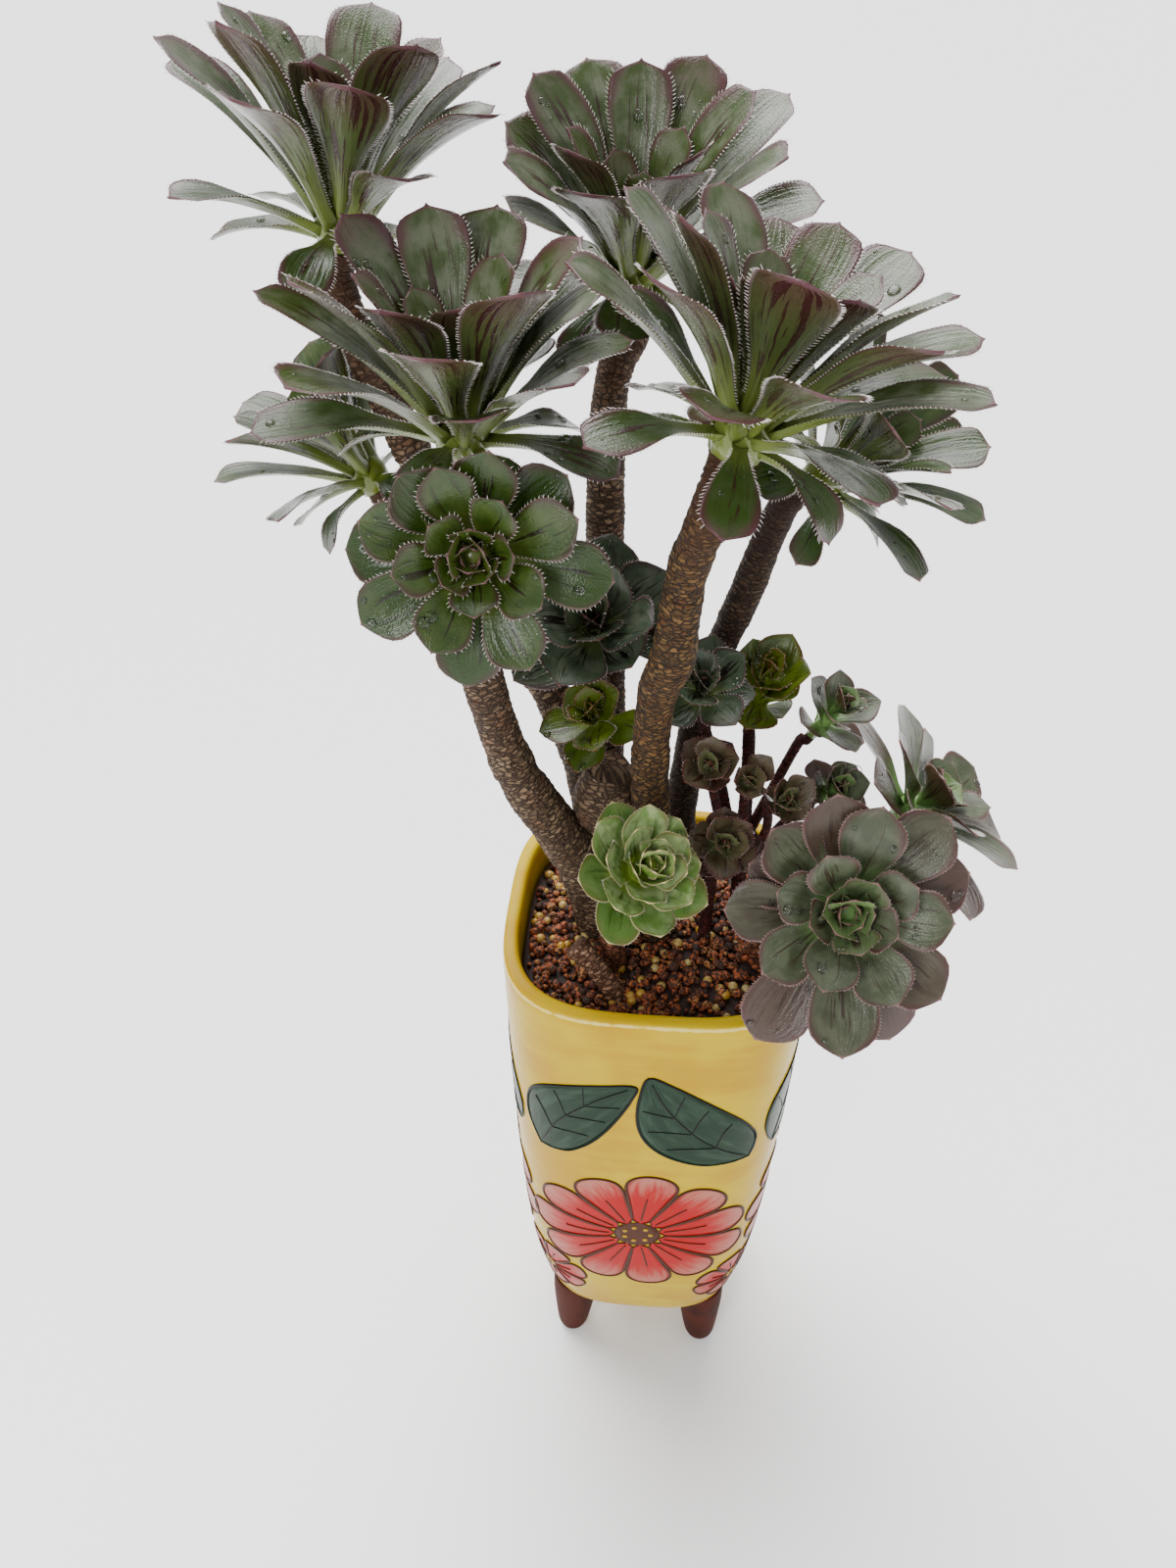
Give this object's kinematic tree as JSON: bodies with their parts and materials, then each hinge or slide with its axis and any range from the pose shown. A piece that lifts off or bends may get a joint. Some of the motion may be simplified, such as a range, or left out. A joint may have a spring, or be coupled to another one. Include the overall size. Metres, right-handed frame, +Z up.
{
  "type": "potted aeonium",
  "caption": "Branching aeonium, with rosettes of fleshy leaves on woody stems, in granular soil in a tall glazed pot of rounded square plan on conical feet.",
  "frame": {"origin": "on the ground under the middle of the object's bounding box", "axes": "+Z up along the pot's height, -Y towards the side the picture shows, +X to the right of it"},
  "size_m": [0.3114, 0.2108, 0.6253],
  "materials": {
    "glazed_pot": "gloss",
    "granular_soil": "matte",
    "bark": "matte",
    "thin_stalk": "satin",
    "dark_leaf": "satin",
    "fresh_green_leaf": "satin",
    "plum_leaf": "satin"
  },
  "bodies": {
    "root": {"pot": "glazed_pot", "soil": "granular_soil", "trunk": "bark", "stem_front": "bark", "stem_right": "bark", "stem_offsets": "thin_stalk", "stem_soil_plum": "thin_stalk", "stem_soil_green": "bark", "stem_low_right": "bark", "stump": "bark", "head_upper_left": "dark_leaf", "head_upper_back": "dark_leaf", "head_front_left": "dark_leaf", "head_front_right": "dark_leaf", "head_right": "dark_leaf", "head_left": "dark_leaf", "head_low_left": "dark_leaf", "head_middle": "dark_leaf", "head_soil_green": "fresh_green_leaf", "head_low_right": "plum_leaf", "head_far_right": "plum_leaf", "offset_olive": "fresh_green_leaf", "offset_dark": "plum_leaf", "offset_grey": "plum_leaf", "offset_grey_low": "plum_leaf", "offset_plum_one": "plum_leaf", "offset_plum_two": "plum_leaf", "offset_plum_three": "plum_leaf", "offset_soil_plum": "plum_leaf", "offset_green": "fresh_green_leaf"}
  },
  "joints": []
}
